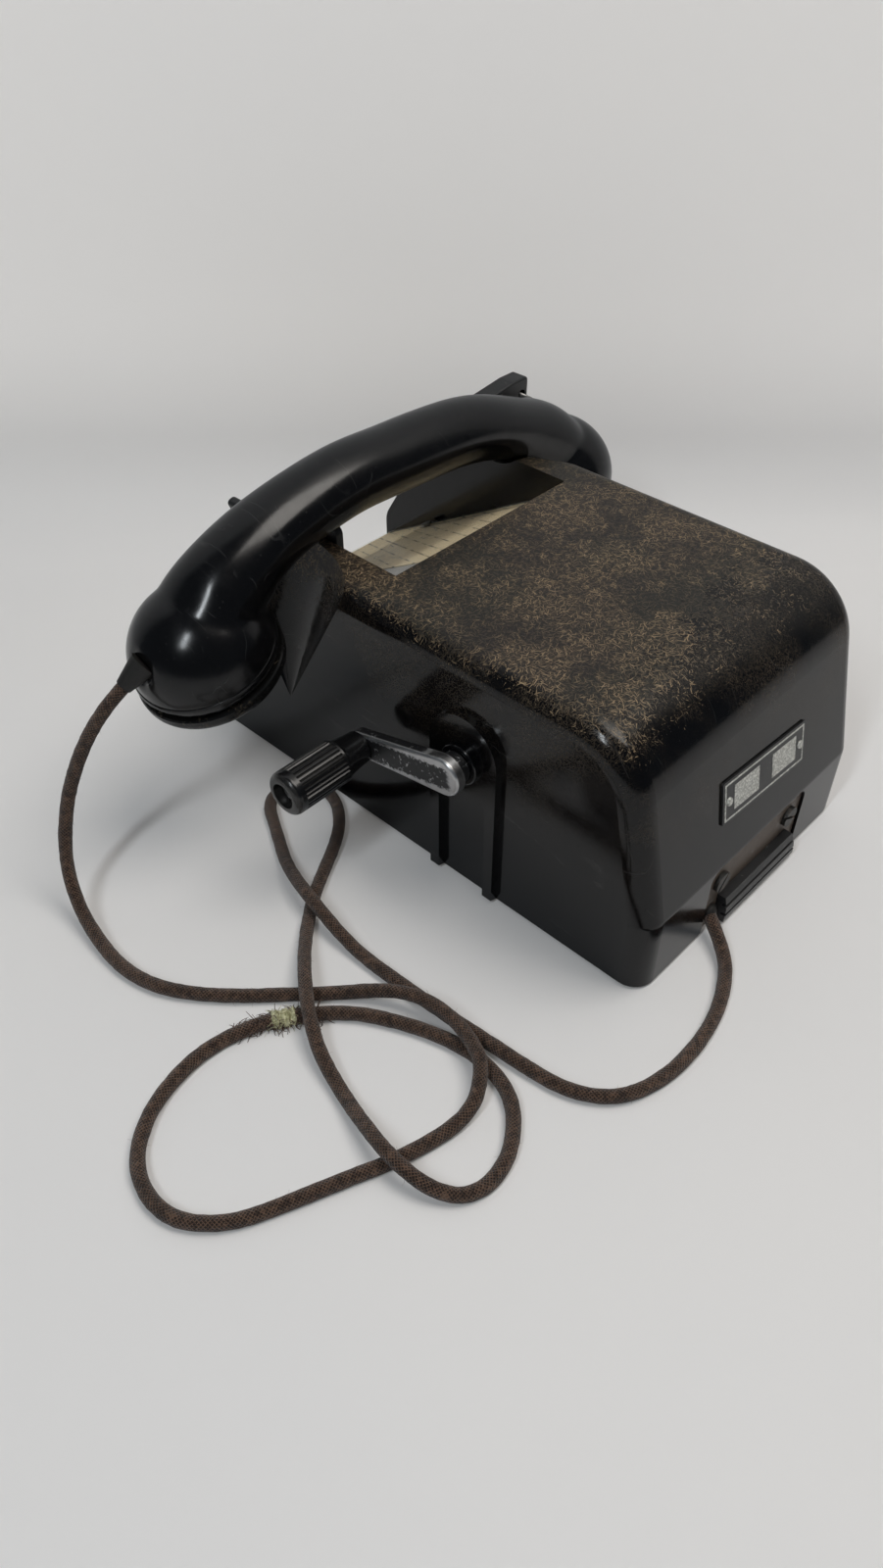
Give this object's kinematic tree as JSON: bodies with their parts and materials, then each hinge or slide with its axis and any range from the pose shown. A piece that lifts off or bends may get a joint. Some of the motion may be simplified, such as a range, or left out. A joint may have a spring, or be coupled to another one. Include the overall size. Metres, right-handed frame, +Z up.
{
  "type": "magneto desk telephone",
  "caption": "Moulded desk telephone with a hand crank on its side, a lift-off handset across sloping cheeks, a card panel and a braided cord.",
  "frame": {"origin": "on the table under the middle of the case", "axes": "+X toward the crank side, +Y toward the back where the cord leaves, +Z up"},
  "size_m": [0.3409, 0.2639, 0.1338],
  "materials": {
    "case_moulding": "semi-gloss black, flaked to brown on top",
    "black_moulding": "polished black phenolic",
    "worn_moulding": "worn, brownish black",
    "black_paint": "black paint",
    "worn_plated_steel": "bright metal with black paint left on it",
    "screw_steel": "dull steel",
    "base_steel": "plain sheet",
    "grey_steel": "grey, rust-tinged",
    "plate_aluminium": "black and bare metal",
    "capsule_aluminium": "satin",
    "foot_rubber": "matte",
    "cord_rubber": "satin",
    "card_paper": "aged card",
    "clear_sheet": "clear celluloid",
    "cord_braid": "braided cotton",
    "tape_cloth": "frayed tape"
  },
  "bodies": {
    "base": {"case": "case_moulding", "base_plate": "base_steel", "feet": "foot_rubber", "base_screws": "screw_steel", "crank_bush": "black_moulding", "cradle_bar": "black_paint", "card_holder": "grey_steel", "card": "card_paper", "card_strip": "card_paper", "card_window": "clear_sheet", "card_screws": "screw_steel", "nameplate": "plate_aluminium", "nameplate_rivets": "plate_aluminium", "terminal_plate": "grey_steel", "terminal_screws": "screw_steel", "terminal_cover": "black_moulding", "cord_gland": "cord_rubber", "cord": "cord_braid", "splice_tape": "tape_cloth"},
    "crank": {"crank_shaft": "screw_steel", "crank_arm": "worn_plated_steel", "crank_pin": "screw_steel"},
    "knob": {"crank_knob": "black_moulding"},
    "ring": {"wire_ring": "screw_steel"},
    "hook": {"hook_lever": "black_paint"},
    "handset": {"handset_shell": "black_moulding", "mouthpiece_cap": "worn_moulding", "ear_cap": "worn_moulding", "transmitter": "capsule_aluminium", "receiver": "capsule_aluminium", "cord_boot": "cord_rubber"}
  },
  "joints": [
    {"name": "crank_turn", "type": "hinge", "parent": "base", "child": "crank", "pos_m": [0.07, 0.0375, 0.061], "axis": [1, 0, 0], "continuous": true},
    {"name": "knob_spin", "type": "hinge", "parent": "crank", "child": "knob", "pos_m": [0.1, -0.00212, 0.05171], "axis": [1, 0, 0], "continuous": true},
    {"name": "ring_swing", "type": "hinge", "parent": "base", "child": "ring", "pos_m": [-0.0845, -0.07375, 0.1085], "axis": [0, 1, 0], "range_deg": [-20, 40]},
    {"name": "hook_rise", "type": "slide", "parent": "base", "child": "hook", "axis": [0, 0, 1], "range_m": [0, 0.003]},
    {"name": "handset_lift", "type": "slide", "parent": "base", "child": "handset", "axis": [-0.1, 0.52, 0.8483], "range_m": [0, 0.06]}
  ],
  "couplings": [
    {"joint": "hook_rise", "follows": "handset_lift", "ratio": 0.05}
  ]
}
